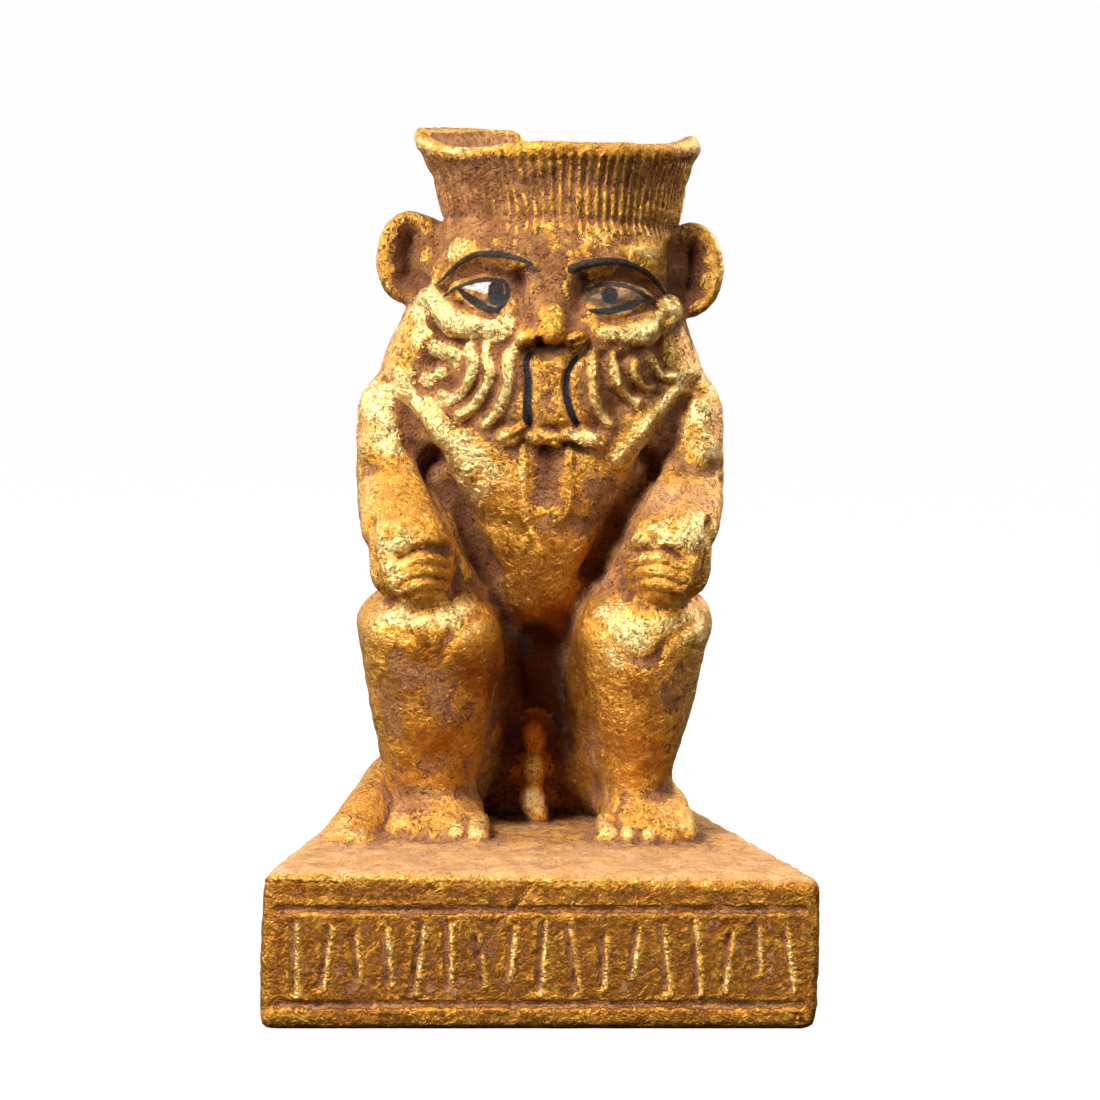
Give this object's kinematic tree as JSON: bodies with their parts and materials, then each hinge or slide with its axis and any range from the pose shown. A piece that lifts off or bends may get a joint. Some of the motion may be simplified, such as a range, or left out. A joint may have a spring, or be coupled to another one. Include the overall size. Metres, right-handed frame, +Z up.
{
  "type": "bes statue",
  "caption": "Squatting bearded dwarf-god figure with a flared ribbed crown, fists on its knees, on a tapered plinth, gilded over clay.",
  "frame": {"origin": "centre of the plinth's underside", "axes": "+Z up, the figure faces -Y, +X to the viewer's right"},
  "size_m": [0.0926, 0.078, 0.1544],
  "materials": {
    "gilded_clay": "worn gold leaf over brown clay, with painted black brows, eyes and mouth lines"
  },
  "bodies": {
    "root": {"statue": "gilded_clay"}
  },
  "joints": []
}
